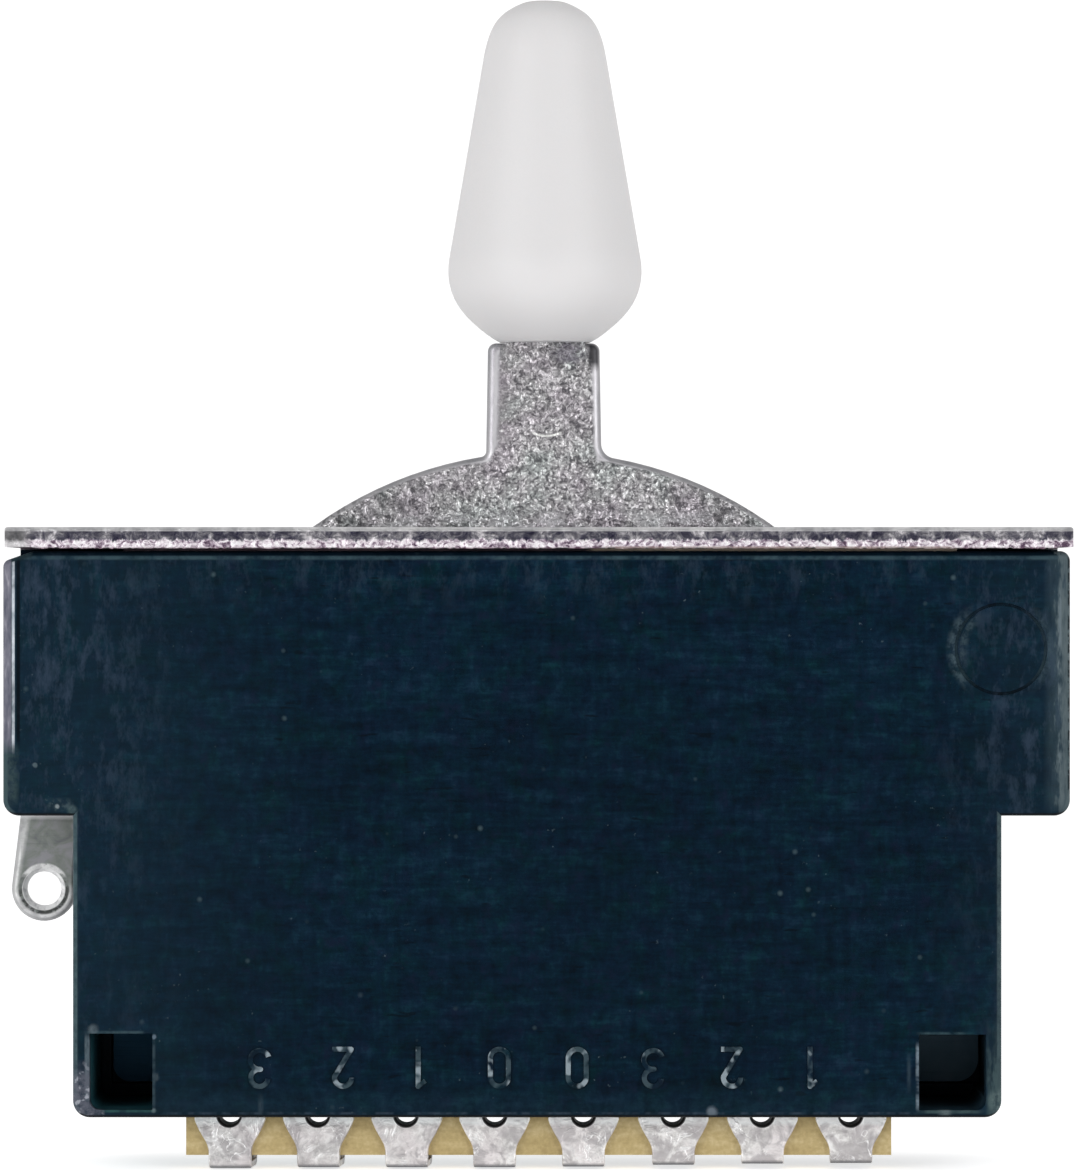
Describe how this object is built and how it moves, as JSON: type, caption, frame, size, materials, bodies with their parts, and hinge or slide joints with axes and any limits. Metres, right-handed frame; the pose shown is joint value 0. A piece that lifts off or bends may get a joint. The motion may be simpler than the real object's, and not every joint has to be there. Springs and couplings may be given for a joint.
{
  "type": "guitar pickup selector switch",
  "caption": "Three-position lever selector switch for guitar pickups: slotted steel plate, closed black box, white tip and a row of solder lugs.",
  "frame": {"origin": "centre of the mounting plate's top face, midway between its two screw holes", "axes": "+Z along the resting lever towards its tip, +X to the right as the numbered face is looked at, -Y out of that face"},
  "size_m": [0.0539, 0.0112, 0.059],
  "materials": {
    "frame_steel": "nickel-plated sheet, satin, with sheared edges",
    "black_plastic": "blue-black moulding with fine sideways scratches",
    "board_phenolic": "tan phenolic board",
    "track_plating": "plated contact tracks",
    "lug_tin": "tinned strip, lightly creased",
    "lever_steel": "nickel-plated stamping with a fine sandy grain and rolled edges",
    "white_plastic": "satin white moulding",
    "rivet_steel": "plated rivets and washers",
    "spacer_steel": "turned",
    "carrier_plastic": "natural moulding",
    "spring_bronze": "spring bronze strip",
    "spring_steel": "blued spring strip"
  },
  "bodies": {
    "base": {"mounting_frame": "frame_steel", "housing": "black_plastic", "circuit_board": "board_phenolic", "contact_tracks": "track_plating", "solder_lug_left_3": "lug_tin", "solder_lug_left_2": "lug_tin", "solder_lug_left_1": "lug_tin", "solder_lug_left_common": "lug_tin", "solder_lug_right_common": "lug_tin", "solder_lug_right_3": "lug_tin", "solder_lug_right_2": "lug_tin", "solder_lug_right_1": "lug_tin", "pivot_rivet": "rivet_steel", "front_washer": "rivet_steel", "rear_washer": "rivet_steel", "pivot_spacer": "spacer_steel", "detent_spring": "spring_steel", "spring_pins": "rivet_steel"},
    "lever_assembly": {"lever": "lever_steel", "lever_tip": "white_plastic", "contact_carrier": "carrier_plastic", "carrier_rivets": "rivet_steel", "contact_spring_left": "spring_bronze", "contact_spring_right": "spring_bronze"}
  },
  "joints": [
    {"name": "lever_pivot", "type": "hinge", "parent": "base", "child": "lever_assembly", "pos_m": [0.00024, 0, -0.01608], "axis": [0, 1, 0], "range_deg": [-27, 27], "deforming": ["detent_spring"]}
  ]
}
